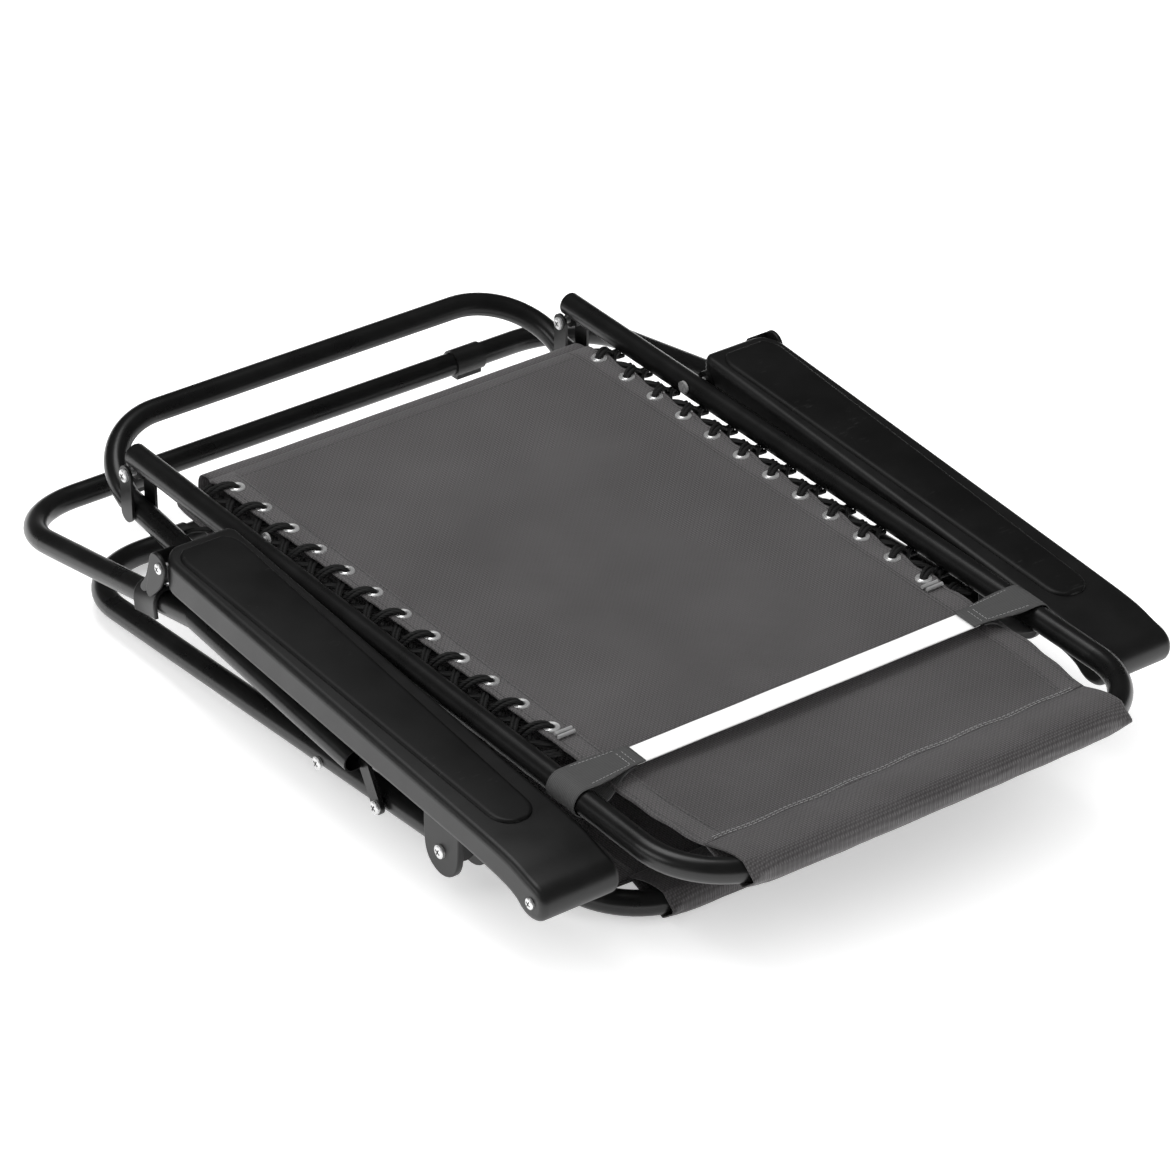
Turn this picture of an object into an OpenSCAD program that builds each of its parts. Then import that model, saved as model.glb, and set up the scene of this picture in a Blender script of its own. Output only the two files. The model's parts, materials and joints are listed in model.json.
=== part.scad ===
// Reclining lounger that folds flat, shown folded and lying on the floor with the
// rear face of its backrest on top.  X is the width, +Y points to the hinge end,
// the floor is Z = 0 and the origin is under the middle of the folded bundle.

/* [Tubes] */
// Outer radius of every frame tube
tube_r = 11; // [10:0.5:11.5]
// Wall thickness of every frame tube
tube_wall = 1.5; // [1:0.1:2.5]
// Centre-line radius of the bends at the frame corners
bend_r = 75; // [60:1:90]

/* [Widths] */
// Distance from the middle to the tubes of the seat and the back
seat_half = 240; // [238:1:241]
// Distance from the middle to the tubes of the front leg
front_leg_half = 297; // [296:1:298]
// Distance from the middle to the tubes of the rear leg
rear_leg_half = 320; // [319:1:321]
// Inner side of each armrest
arm_inner = 256; // [255:1:258]
// Outer side of each armrest
arm_outer = 334; // [333:1:338]

/* [Sling] */
// Half the width of the back sling
sling_half = 209; // [206:1:211]
// Thickness of the sling cloth
sling_t = 2.4; // [2:0.1:3]
// Distance between eyelets
eyelet_pitch = 42; // [40:0.5:42]
// Number of eyelets on each side
eyelet_count = 12; // [8:1:12]
// Radius of the elastic lacing cord
cord_r = 2.2; // [1.8:0.1:2.3]

/* [Pillow] */
// Width of the head pillow
pillow_w = 330; // [260:5:340]
// Length of the head pillow along the back
pillow_l = 170; // [120:5:180]
// Thickness of the head pillow
pillow_t = 44; // [30:1:46]

/* [Fasteners] */
// Radius of every pivot bolt
bolt_r = 3; // [2.5:0.25:3]

/* [Hidden] */
$fn = 64;

// Pivots, as [y, z].  The four of them make a parallelogram, so the back stays
// parallel to the front leg and the armrests stay parallel to the seat link.
seat_pivot = [-50, 30];
link = [-186, 12];
seat_link = [378, 88];
arm_pivot = seat_pivot + link;
hinge = seat_pivot + seat_link;
back_arm = hinge + link;
leg_pivot = seat_pivot + link * 0.5;

clear = 0.3;
hole_r = bolt_r + 0.05;
head_r = 6;
head_t = 2.4;
cover_t = 2;

// Corner points of each frame in side view, from its cross bar to its far end.
front_bar = [357, 15];
rear_bar = [430, 48];
rear_clamp = [115, 98];
rear_crank = [-122, 73];
seat_bar = [415, 116.5];
seat_rise = [345, 82];
seat_knee = [-50, 30];
foot_bar = [-372, tube_r + cover_t];
back_slope = 0.035;
back_z0 = back_arm[1] - 3.5;
back_tip_y = hinge[0] + 3;
head_bar_y = -484;
front_leg_l = span(front_bar, arm_pivot) + 8;
kink = 1.8;
function back_z(y) = back_z0 + (y - back_arm[0]) * back_slope;
function seat_z(y) = y > seat_knee[0]
    ? seat_knee[1] + (y - seat_knee[0]) * (seat_rise[1] - seat_knee[1]) / (seat_rise[0] - seat_knee[0])
    : foot_bar[1] + (y - foot_bar[0]) * (seat_knee[1] - foot_bar[1]) / (seat_knee[0] - foot_bar[0]);
back_tilt = atan(back_slope);
head_bar = [head_bar_y, back_z(head_bar_y)];
back_tip = [back_tip_y, back_z(back_tip_y)];

// Length and angle of the line from side point a to side point b.
function span(a, b) = norm(b - a);
function rise(a, b) = atan2(b[1] - a[1], b[0] - a[0]);

steel = [0.09, 0.09, 0.1];
zinc = [0.8, 0.81, 0.83];
plastic = [0.13, 0.13, 0.14];
cloth = [0.29, 0.28, 0.28];
rubber = [0.06, 0.06, 0.06];

// Everything is drawn from the seat pivot outwards, then moved so that the
// folded bundle is centred over the origin.
centre_y = -(head_bar_y + rear_bar[0]) / 2;
module centred() {
    translate([0, centre_y, 0]) children();
}

module both_sides() {
    children();
    mirror([1, 0, 0]) children();
}

// A straight rod of radius r at x from side point a to side point b.
module rod(x, a, b, r) {
    translate([x, a[0], a[1]]) rotate([rise(a, b), 0, 0]) rotate([-90, 0, 0])
        cylinder(r = r, h = span(a, b));
}

// A rod along X, centred on side point p, from x = x0 to x = x1.
module pin(p, x0, x1, r) {
    translate([x0, p[0], p[1]]) rotate([0, 90, 0]) cylinder(r = r, h = x1 - x0);
}

// A flat U of round bar: its cross bar lies at side point p, and its side bars
// run towards side point q for the given length.
module u_bar(half, p, q, length, r) {
    run = round(length * 10) / 10 - bend_r;
    translate([0, p[0], p[1]]) rotate([rise(q, p), 0, 0]) {
        translate([-(half - bend_r), 0, 0]) rotate([0, 90, 0])
            cylinder(r = r, h = 2 * (half - bend_r));
        both_sides() {
            translate([half - bend_r, -bend_r, 0])
                rotate_extrude(angle = 90) translate([bend_r, 0]) circle(r = r);
            translate([half, -bend_r, 0]) rotate([90, 0, 0]) cylinder(r = r, h = run);
        }
    }
}

// The side point at distance d from p towards q.
function along(p, q, d) = p + (q - p) * d / span(p, q);

module front_leg_frame() {
    color(steel) centred() difference() {
        u_bar(front_leg_half, front_bar, arm_pivot, front_leg_l, tube_r);
        u_bar(front_leg_half, front_bar, arm_pivot, front_leg_l + 1, tube_r - tube_wall);
        pin(seat_pivot, -400, 400, hole_r);
        pin(leg_pivot, -400, 400, hole_r);
        pin(arm_pivot, -400, 400, hole_r);
    }
}

module front_leg_end_plugs() {
    color(rubber) centred() both_sides()
        rod(front_leg_half, along(arm_pivot, front_bar, -10.2), along(arm_pivot, front_bar, -8.2), tube_r);
}

// Plastic sleeve round a cross bar with a flat foot under it.
module glide(x, p, floor_z) {
    difference() {
        union() {
            pin(p, x - 16, x + 16, tube_r + cover_t);
            translate([x - 14, p[0] - 7, floor_z]) cube([28, 14, p[1] - floor_z]);
        }
        pin(p, x - 20, x + 20, tube_r);
    }
}

module front_leg_glides() {
    color(plastic) centred() both_sides() glide(190, front_bar, 0);
}

module rear_leg_glides() {
    color(plastic) centred() both_sides() glide(190, rear_bar, rear_bar[1] - 15);
}

module rear_leg_tube(r, end) {
    u_bar(rear_leg_half, rear_bar, rear_clamp, span(rear_bar, rear_clamp) + kink, r);
    both_sides() rod(rear_leg_half, along(rear_clamp, rear_crank, -kink), along(rear_crank, rear_clamp, -end), r);
}

tongue_x = rear_leg_half - tube_r + 1;
tongue_t = 4;

// Flat tongue from the end of a rear leg tube down to its pivot.
module leg_tongue() {
    length = round(span(rear_crank, leg_pivot) * 10) / 10;
    r = 7;
    translate([tongue_x, rear_crank[0], rear_crank[1]]) rotate([rise(rear_crank, leg_pivot), 0, 0]) {
        translate([0, 0, -r]) cube([tongue_t, length, 2 * r]);
        translate([0, length, 0]) rotate([0, 90, 0]) cylinder(r = r, h = tongue_t);
    }
}

module rear_leg_frame() {
    color(steel) centred() difference() {
        union() {
            difference() {
                rear_leg_tube(tube_r, 0);
                rear_leg_tube(tube_r - tube_wall, 1);
            }
            both_sides() leg_tongue();
        }
        pin(leg_pivot, -400, 400, hole_r);
    }
}

// A bolt along X with a round head at its low-X end.
module bolt(p, x0, x1) {
    pin(p, x0, x1, bolt_r);
    pin(p, x0 - head_t, x0, head_r);
}

module rear_leg_pivot_bolts() {
    color(zinc) centred() both_sides() mirror([1, 0, 0])
        bolt(leg_pivot, -(tongue_x + tongue_t), -(front_leg_half - tube_r - 2));
}

module seat_tube(r) {
    u_bar(seat_half, seat_bar, seat_rise, span(seat_bar, seat_rise) + kink, r);
    both_sides() rod(seat_half, along(seat_rise, seat_knee, -kink), along(seat_knee, seat_rise, -kink), r);
    u_bar(seat_half, foot_bar, seat_knee, span(foot_bar, seat_knee) + kink, r);
}

module seat_frame() {
    color(steel) centred() difference() {
        seat_tube(tube_r);
        seat_tube(tube_r - tube_wall);
        pin(seat_pivot, -400, 400, hole_r);
    }
}

module seat_pivot_bolts() {
    color(zinc) centred() both_sides() mirror([1, 0, 0])
        bolt(seat_pivot, -(front_leg_half + tube_r), -(seat_half - tube_r - 2));
}

module seat_pivot_spacers() {
    color(rubber) centred() both_sides() difference() {
        pin(seat_pivot, seat_half + tube_r + clear, front_leg_half - tube_r - clear, 7);
        pin(seat_pivot, 0, 400, hole_r);
    }
}

// Flat steel plate from the seat tube up to the hinge, with round ends.
module hinge_plate(x, t) {
    foot = [hinge[0], seat_z(hinge[0])];
    difference() {
        union() {
            pin(hinge, x, x + t, 9);
            pin(foot, x, x + t, 9);
            translate([x, foot[0] - 9, foot[1]]) cube([t, 18, hinge[1] - foot[1]]);
        }
        pin(hinge, -400, 400, hole_r);
    }
}

module hinge_plates_outer() {
    color(steel) centred() both_sides() hinge_plate(seat_half + tube_r, 2.6);
}

module hinge_plates_inner() {
    color(steel) centred() both_sides() hinge_plate(seat_half - tube_r - 2.6, 2.6);
}

module hinge_bolts() {
    color(zinc) centred() {
        bolt(hinge, -(seat_half + tube_r + 2.6), -(seat_half - tube_r - 7));
        bolt(hinge, seat_half - tube_r - 2.6, seat_half + tube_r + 7);
    }
}

module cap_nut(p, x0, dir) {
    translate([x0, p[0], p[1]]) rotate([0, dir * 90, 0]) difference() {
        union() {
            cylinder(r = 6.2, h = 3.5);
            translate([0, 0, 3.5]) intersection() {
                sphere(r = 5.6);
                cylinder(r = 7, h = 7);
            }
        }
        translate([0, 0, -1]) cylinder(r = bolt_r, h = 5.6);
    }
}

module hinge_cap_nuts() {
    color(rubber) centred() {
        cap_nut(hinge, -(seat_half - tube_r - 2.6), 1);
        cap_nut(hinge, seat_half + tube_r + 2.6, 1);
    }
}

module back_frame() {
    color(steel) centred() difference() {
        u_bar(seat_half, head_bar, back_tip, span(head_bar, back_tip) - 2, tube_r);
        u_bar(seat_half, head_bar, back_tip, span(head_bar, back_tip), tube_r - tube_wall);
        pin(back_arm, -400, 400, hole_r);
    }
}

// Tab welded under each tube end, which carries the hinge.
module back_hinge_tabs() {
    t = 6;
    color(steel) centred() both_sides() difference() {
        union() {
            pin(hinge, seat_half - t / 2, seat_half + t / 2, 7);
            translate([seat_half - t / 2, hinge[0] - 12, hinge[1] - 2])
                cube([t, 15, back_z(hinge[0]) - hinge[1]]);
        }
        pin(hinge, 0, 400, hole_r);
        rod(seat_half, along(back_tip, head_bar, -20), along(back_tip, head_bar, 40), tube_r);
    }
}

module back_end_plugs() {
    color(rubber) centred() both_sides()
        rod(seat_half, along(back_tip, head_bar, 1.8), back_tip, tube_r);
}

// A flat panel that lies in the plane of the back, from y0 to y1.
module back_panel(half, y0, y1, t, lift = 0) {
    translate([0, y0, back_z(y0) + lift]) rotate([back_tilt, 0, 0])
        translate([-half, 0, -t / 2]) cube([2 * half, (y1 - y0) / cos(back_tilt), t]);
}

eyelet_x = 199;
eyelet_hole = 4;
sleeve_y = head_bar_y + 44;
sling_end_y = 262;
function eyelet_y(i) = (eyelet_count - 1) / 2 * eyelet_pitch - i * eyelet_pitch;

module back_holes(r) {
    for (i = [0 : eyelet_count - 1]) both_sides()
        translate([eyelet_x, eyelet_y(i), back_z(eyelet_y(i)) - 10])
            cylinder(r = r, h = 20);
}

module back_sling() {
    color(cloth) centred() difference() {
        back_panel(sling_half, sleeve_y, sling_end_y, sling_t);
        back_holes(eyelet_hole + 0.05);
    }
}

module back_head_sleeve() {
    half = seat_half - bend_r - 2;
    color(cloth) centred() difference() {
        union() {
            pin(head_bar, -half, half, tube_r + cover_t);
            back_panel(half - 1, head_bar_y, sleeve_y, 2 * sling_t);
        }
        pin(head_bar, -half - 1, half + 1, tube_r + 0.1);
    }
}

// Rolled ring through the cloth.
module eyelet(x, y, z, t) {
    translate([x, y, z]) difference() {
        union() {
            translate([0, 0, -t / 2 - 0.8]) cylinder(r = 7, h = 0.8);
            translate([0, 0, t / 2]) cylinder(r = 7, h = 0.8);
            translate([0, 0, -t / 2 - 0.8]) cylinder(r = eyelet_hole, h = t + 1.6);
        }
        translate([0, 0, -5]) cylinder(r = eyelet_hole - 1, h = 10);
    }
}

module back_eyelets() {
    color(zinc) centred() for (i = [0 : eyelet_count - 1]) both_sides()
        eyelet(eyelet_x, eyelet_y(i), back_z(eyelet_y(i)), sling_t + 0.8);
}

// One straight piece of cord from an eyelet out to the inner side of the tube.
module lace(y, z0, z1) {
    a = [lace_in, y, z0];
    b = [lace_out, y + lace_run, z1];
    d = b - a;
    len = norm(d);
    translate(a) rotate([0, acos(d[2] / len), atan2(d[1], d[0])])
        cylinder(r = cord_r, h = len, $fn = 16);
}

lace_in = eyelet_x + 12;
lace_out = seat_half - tube_r - 4.8;
lace_run = 14;

module back_lacing(side) {
    color(rubber) centred() mirror([side < 0 ? 1 : 0, 0, 0])
        for (i = [0 : eyelet_count - 1])
            lace(eyelet_y(i), back_z(eyelet_y(i)), back_z(eyelet_y(i) + lace_run));
}

module back_lacing_left() { back_lacing(-1); }
module back_lacing_right() { back_lacing(1); }

// Two crimped metal cord ends on each side, lying on the sling by the last eyelet.
module lacing_cord_ends() {
    y = eyelet_y(eyelet_count - 1) - 12;
    z = back_z(y) + sling_t / 2 + 0.1;
    color(zinc) centred() both_sides() for (k = [0, 1])
        translate([eyelet_x - 12 + k * 1, y - k * 5.5, z + 1.8]) rotate([0, 90, 0])
            cylinder(r = 1.8, h = 17, $fn = 24);
}

module seat_panel(half, a, b, t) {
    translate([0, a[0], a[1]]) rotate([rise(a, b), 0, 0])
        translate([-half, 0, -t / 2]) cube([2 * half, span(a, b), t]);
}

function seat_point(y) = [y, seat_z(y)];
seat_top_y = 318;
foot_sleeve_y = foot_bar[0] + 40;
seam_gap = 0.3;
seat_laced = [for (i = [0 : 14]) -300 + i * 40];

module seat_sling() {
    a = seat_point(foot_sleeve_y);
    b = seat_point(seat_top_y);
    up = [0, sling_t / 2];
    color(cloth) centred() difference() {
        translate([-sling_half, 0, 0]) rotate([90, 0, 90]) linear_extrude(2 * sling_half)
            polygon([a - up, seat_knee - up, b - up, b + up, seat_knee + up, a + up]);
        for (y = seat_laced) both_sides() translate([eyelet_x, y, seat_z(y) - 10])
            cylinder(r = eyelet_hole + 0.05, h = 20);
    }
}

module seat_foot_sleeve() {
    half = seat_half - bend_r - 2;
    color(cloth) centred() difference() {
        union() {
            pin(foot_bar, -half, half, tube_r + cover_t);
            seat_panel(half - 1, foot_bar, seat_point(foot_sleeve_y - seam_gap), 2 * sling_t);
        }
        pin(foot_bar, -half - 1, half + 1, tube_r + 0.1);
    }
}

module seat_eyelets() {
    color(zinc) centred() for (y = seat_laced) both_sides()
        eyelet(eyelet_x, y, seat_z(y), sling_t + 2.4);
}

module seat_lacing(side) {
    color(rubber) centred() mirror([side < 0 ? 1 : 0, 0, 0]) for (y = seat_laced)
        lace(y, seat_z(y), seat_z(y + lace_run));
}

module seat_lacing_left() { seat_lacing(-1); }
module seat_lacing_right() { seat_lacing(1); }

// The sling turns down over the hip from the back to the seat.
module hip_fold() {
    top = back_z(sling_end_y);
    color(cloth) centred() translate([-sling_half, sling_end_y + 1, 0]) rotate([90, 0, 90])
        linear_extrude(2 * sling_half) polygon([
            [0, top - 1.2], [0, top + 1.2], [14, top], [24, top - 8],
            [24, seat_z(sling_end_y) + 12], [20, seat_z(sling_end_y) + 12],
            [20, top - 9], [12, top - 2.4]]);
}

module back_arm_bolts() {
    color(zinc) centred() both_sides() bolt(back_arm, seat_half - tube_r, arm_outer - 8);
}

module back_arm_spacers() {
    color(rubber) centred() both_sides() difference() {
        pin(back_arm, seat_half + tube_r + clear, arm_inner - clear, 8);
        pin(back_arm, 0, 400, hole_r);
    }
}

strap_y = -298;
strap_w = 30;

// Webbing loop round one back tube.
module strap_loop() {
    p0 = [strap_y - strap_w, back_z(strap_y - strap_w)];
    p1 = [strap_y, back_z(strap_y)];
    difference() {
        union() {
            rod(seat_half, p0, p1, tube_r + 1.8);
            translate([0, p0[0], p0[1]]) rotate([back_tilt, 0, 0])
                translate([180, 0, tube_r - 1.6]) cube([seat_half - 180, strap_w, 1.8]);
        }
        rod(seat_half, along(p0, p1, -1), along(p0, p1, strap_w + 1), tube_r + 0.25);
    }
}

module strap_loop_left() { color(cloth) centred() mirror([1, 0, 0]) strap_loop(); }
module strap_loop_right() { color(cloth) centred() strap_loop(); }

module elastic_band() {
    color([0.93, 0.93, 0.93]) centred()
        translate([0, strap_y - strap_w, back_z(strap_y - strap_w)]) rotate([back_tilt, 0, 0])
        translate([-180, 4, tube_r - 1.6]) cube([360, strap_w - 8, 1.8]);
}

module head_pillow() {
    z = back_z(strap_y) - 4 - pillow_t / 2;
    color(cloth) centred() translate([0, strap_y - strap_w / 2, z]) rotate([0, 90, 0])
        rotate([0, 0, 90]) linear_extrude(pillow_w, center = true)
        pillow_outline();
}

module pillow_outline() {
    r = pillow_t / 2;
    translate([-(pillow_l / 2 - r), 0]) circle(r = r);
    translate([pillow_l / 2 - r, 0]) circle(r = r);
    square([pillow_l - 2 * r, pillow_t], center = true);
}

// Armrest in side view, as [y, z]: a long bar that ends in a roll at the nose.
nose = [-385, 79];
nose_r = 17;
arm_rear_y = 152;
clip_screw_at = [142, 139];
arm_t = 33;
arm_slope = 0.09;
function arm_top(y) = 150 + (y - 142) * arm_slope;

module armrest_outline() {
    polygon([[arm_rear_y - 12, arm_top(arm_rear_y - 12)], [arm_rear_y, arm_top(arm_rear_y) - 10],
        [arm_rear_y, arm_top(arm_rear_y) - arm_t], [-150, arm_top(-150) - arm_t + 2],
        [-330, arm_top(-330) - arm_t + 4], [nose[0] + 6, nose[1] - nose_r + 1.1],
        [nose[0] - nose_r * 0.8, nose[1] + nose_r * 0.6], [-372, arm_top(-372) - 7],
        [-345, arm_top(-345)]]);
    translate(nose) circle(r = nose_r);
}

// The underside is hollow between the rear block and the nose.
module armrest_hollow() {
    polygon([[118, 60], [118, arm_top(118) - skin], [-330, arm_top(-330) - skin], [-330, 40]]);
}

skin = 3.5;
lug_r = 23;
lug_t = 6.4;
module armrest() {
    cheek_in = front_leg_half - tube_r - 7;
    cheek_out = front_leg_half + tube_r + 0.6;
    difference() {
        union() {
            difference() {
                translate([arm_inner, 0, 0]) rotate([90, 0, 90])
                    linear_extrude(arm_outer - arm_inner) armrest_outline();
                translate([arm_inner + skin, 0, 0]) rotate([90, 0, 90])
                    linear_extrude(arm_outer - arm_inner - 2 * skin) armrest_hollow();
            }
            for (x = [cheek_in, cheek_out]) {
                pin(arm_pivot, x, x + lug_t, lug_r);
                translate([x, arm_pivot[0] - lug_r + 4, arm_pivot[1]])
                    cube([lug_t, 2 * lug_r - 8, arm_top(arm_pivot[0]) - arm_pivot[1] - 2]);
            }
        }
        pin(arm_pivot, 0, 400, hole_r);
        pin(back_arm, 0, arm_outer - 7, hole_r + 0.2);
        pin(clip_screw_at, arm_outer - 5, arm_outer + 1, bolt_r);
        pin(nose, arm_outer - 18, arm_outer + 1, bolt_r);
    }
}

module armrest_left() { color(plastic) centred() mirror([1, 0, 0]) armrest(); }
module armrest_right() { color(plastic) centred() armrest(); }

// Raised comfort pad on the armrest, with round ends.
module armrest_pad() {
    y0 = -322;
    y1 = 140;
    mid = (arm_inner + arm_outer) / 2;
    translate([mid, y0, arm_top(y0)]) rotate([atan(arm_slope), 0, 0]) linear_extrude(2.5) {
        translate([0, 20]) circle(r = 20);
        polygon([[-20, 20], [20, 20], [31, (y1 - y0) - 12], [19, y1 - y0], [-19, y1 - y0],
            [-31, (y1 - y0) - 12]]);
    }
}

module armrest_pad_left() { color(plastic) centred() mirror([1, 0, 0]) armrest_pad(); }
module armrest_pad_right() { color(plastic) centred() armrest_pad(); }

module nose_screw() {
    pin(nose, arm_outer - 18, arm_outer, bolt_r);
    pin(nose, arm_outer, arm_outer + 1.6, 5);
}

module nose_screw_left() { color(zinc) centred() mirror([1, 0, 0]) nose_screw(); }
module nose_screw_right() { color(zinc) centred() nose_screw(); }

// Saddle clip that drops over the rear leg tube, with an ear up to its screw.
module storage_clip() {
    w = 34;
    inner_r = tube_r + 0.5;
    outer_r = tube_r + 3.4;
    drop = 11;
    slope = rise(rear_clamp, rear_bar);
    ear_x = arm_outer + clear;
    ear_t = 3;
    difference() {
        union() {
            translate([rear_leg_half, clip_at[0], clip_at[1]]) rotate([slope, 0, 0]) {
                translate([0, -w / 2, 0]) rotate([-90, 0, 0]) cylinder(r = outer_r, h = w);
                translate([-outer_r, -w / 2, -drop]) cube([2 * outer_r, w, drop]);
                translate([0, -w / 2, -drop])
                    cube([ear_x + ear_t - rear_leg_half, w, drop + 6]);
            }
            pin(clip_screw_at, ear_x, ear_x + ear_t, 9);
            translate([ear_x, clip_screw_at[0] - 9, clip_at[1] - 4])
                cube([ear_t, 34, clip_screw_at[1] - clip_at[1] + 4]);
        }
        translate([rear_leg_half, clip_at[0], clip_at[1]]) rotate([slope, 0, 0]) {
            translate([0, -w, 0]) rotate([-90, 0, 0]) cylinder(r = inner_r, h = 2 * w);
            translate([-inner_r, -w, -2 * drop]) cube([2 * inner_r, 2 * w, 2 * drop]);
        }
        pin(clip_screw_at, ear_x - 1, ear_x + ear_t + 1, bolt_r);
    }
}

clip_at = along(rear_clamp, rear_bar, 60);

module storage_clip_left() { color(plastic) centred() mirror([1, 0, 0]) storage_clip(); }
module storage_clip_right() { color(plastic) centred() storage_clip(); }

module clip_screw() {
    pin(clip_screw_at, arm_outer - 5, arm_outer + 3 + clear, bolt_r);
    pin(clip_screw_at, arm_outer + 3 + clear, arm_outer + 5, 5);
}

module clip_screw_left() { color(zinc) centred() mirror([1, 0, 0]) clip_screw(); }
module clip_screw_right() { color(zinc) centred() clip_screw(); }

module arm_pivot_bolt() {
    mirror([1, 0, 0])
        bolt(arm_pivot, -(front_leg_half + tube_r + 7), -(front_leg_half - tube_r - 10));
}

module arm_pivot_bolt_left() { color(zinc) centred() mirror([1, 0, 0]) arm_pivot_bolt(); }
module arm_pivot_bolt_right() { color(zinc) centred() arm_pivot_bolt(); }

front_leg_frame();
front_leg_glides();
front_leg_end_plugs();
rear_leg_frame();
rear_leg_glides();
rear_leg_pivot_bolts();
seat_frame();
seat_pivot_bolts();
seat_pivot_spacers();
hinge_plates_outer();
hinge_plates_inner();
hinge_bolts();
hinge_cap_nuts();
seat_sling();
seat_foot_sleeve();
seat_eyelets();
seat_lacing_left();
seat_lacing_right();
back_frame();
back_hinge_tabs();
back_end_plugs();
back_sling();
back_head_sleeve();
back_eyelets();
back_lacing_left();
back_lacing_right();
lacing_cord_ends();
back_arm_bolts();
back_arm_spacers();
hip_fold();
strap_loop_left();
strap_loop_right();
elastic_band();
head_pillow();
armrest_left();
armrest_right();
armrest_pad_left();
armrest_pad_right();
nose_screw_left();
nose_screw_right();
storage_clip_left();
storage_clip_right();
clip_screw_left();
clip_screw_right();
arm_pivot_bolt_left();
arm_pivot_bolt_right();
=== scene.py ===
import json
import math

import bpy
import numpy as np
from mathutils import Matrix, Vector, noise


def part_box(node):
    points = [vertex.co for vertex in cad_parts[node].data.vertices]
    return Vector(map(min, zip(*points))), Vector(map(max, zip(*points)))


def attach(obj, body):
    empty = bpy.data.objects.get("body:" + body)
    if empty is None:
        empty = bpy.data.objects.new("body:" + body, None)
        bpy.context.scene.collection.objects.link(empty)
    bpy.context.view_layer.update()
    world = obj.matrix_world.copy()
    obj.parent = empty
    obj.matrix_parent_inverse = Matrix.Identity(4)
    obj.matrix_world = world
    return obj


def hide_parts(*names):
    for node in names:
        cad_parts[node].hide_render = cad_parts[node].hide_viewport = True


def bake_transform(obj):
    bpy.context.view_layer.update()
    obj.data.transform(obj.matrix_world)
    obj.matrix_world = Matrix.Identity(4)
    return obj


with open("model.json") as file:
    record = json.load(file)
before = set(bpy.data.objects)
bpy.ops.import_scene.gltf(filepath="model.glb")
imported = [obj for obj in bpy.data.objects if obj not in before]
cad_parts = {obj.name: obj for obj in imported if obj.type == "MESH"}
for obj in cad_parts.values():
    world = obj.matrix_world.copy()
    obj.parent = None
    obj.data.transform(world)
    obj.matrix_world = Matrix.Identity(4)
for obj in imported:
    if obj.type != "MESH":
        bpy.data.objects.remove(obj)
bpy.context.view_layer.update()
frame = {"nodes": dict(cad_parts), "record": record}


# ---------------------------------------------------------------- sizes, metres
TUBE_X = 0.240            # side tubes of the seat and the back
TUBE_R = 0.011
SLOPE = 0.035             # of the folded back
HEAD_Y = -0.457           # centre line of the head bar
BEND_R = 0.075
SLING_X = 0.209
SLING_LOW, SLING_HIGH = -0.413, 0.289
EYELET_X = 0.199
PITCH = 0.042
EYELETS = [0.258 - PITCH * i for i in range(12)]
STRAP_Y = -0.286
ARM_IN, ARM_OUT = 0.256, 0.334
ARM_REAR = 0.179

# (y, z) of the bolts and screws, and the radii of their heads
HINGE = (0.355, 0.118)
SEAT_PIVOT = (-0.023, 0.030)
LEG_PIVOT = (-0.116, 0.036)
NOSE_SCREW = (-0.358, 0.079)
CLIP_SCREW = (0.169, 0.139)
BOLT_HEAD_R, SCREW_HEAD_R = 0.0058, 0.0052


def plane_z(y):
    """Height of the middle of the back sling's cloth."""
    return 0.1265 + (y - 0.169) * SLOPE


def arm_top(y):
    return 0.150 + (y - 0.169) * 0.09


# ---------------------------------------------------------------- materials
def new_material(name):
    mat = bpy.data.materials.new(name)
    mat.use_nodes = True
    nt = mat.node_tree
    return mat, nt, nt.nodes["Principled BSDF"]


def node(nt, kind, **sockets):
    n = nt.nodes.new(kind)
    for key, value in sockets.items():
        if key in n.inputs:
            n.inputs[key].default_value = value
        else:
            setattr(n, key, value)
    return n


def object_coords(nt, scale=(1, 1, 1), turn=(0, 0, 0)):
    tc = nt.nodes.new("ShaderNodeTexCoord")
    mp = nt.nodes.new("ShaderNodeMapping")
    mp.inputs["Scale"].default_value = scale
    mp.inputs["Rotation"].default_value = turn
    nt.links.new(tc.outputs["Object"], mp.inputs["Vector"])
    return mp.outputs["Vector"]


def noise_node(nt, coords, scale, detail=2.0, roughness=0.5):
    n = node(nt, "ShaderNodeTexNoise", Scale=scale, Detail=detail, Roughness=roughness)
    nt.links.new(coords, n.inputs["Vector"])
    return n.outputs["Fac"]


def wave_node(nt, coords, scale, direction="X", distortion=0.0, profile="SIN"):
    n = node(nt, "ShaderNodeTexWave", Scale=scale, Distortion=distortion)
    n.wave_type = "BANDS"
    n.bands_direction = direction
    n.wave_profile = profile
    nt.links.new(coords, n.inputs["Vector"])
    return n.outputs["Fac"]


def math_node(nt, op, a, b):
    n = nt.nodes.new("ShaderNodeMath")
    n.operation = op
    for k, v in enumerate((a, b)):
        if isinstance(v, (int, float)):
            n.inputs[k].default_value = v
        else:
            nt.links.new(v, n.inputs[k])
    return n.outputs[0]


def ramp(nt, fac, stops):
    n = nt.nodes.new("ShaderNodeValToRGB")
    els = n.color_ramp.elements
    while len(els) < len(stops):
        els.new(0.5)
    for el, (pos, col) in zip(els, stops):
        el.position = pos
        el.color = (col[0], col[1], col[2], 1) if hasattr(col, "__len__") else (col, col, col, 1)
    nt.links.new(fac, n.inputs["Fac"])
    return n.outputs["Color"]


def bump(nt, bsdf, height, strength, distance=0.0004):
    n = node(nt, "ShaderNodeBump", Strength=strength, Distance=distance)
    nt.links.new(height, n.inputs["Height"])
    nt.links.new(n.outputs["Normal"], bsdf.inputs["Normal"])


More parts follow.
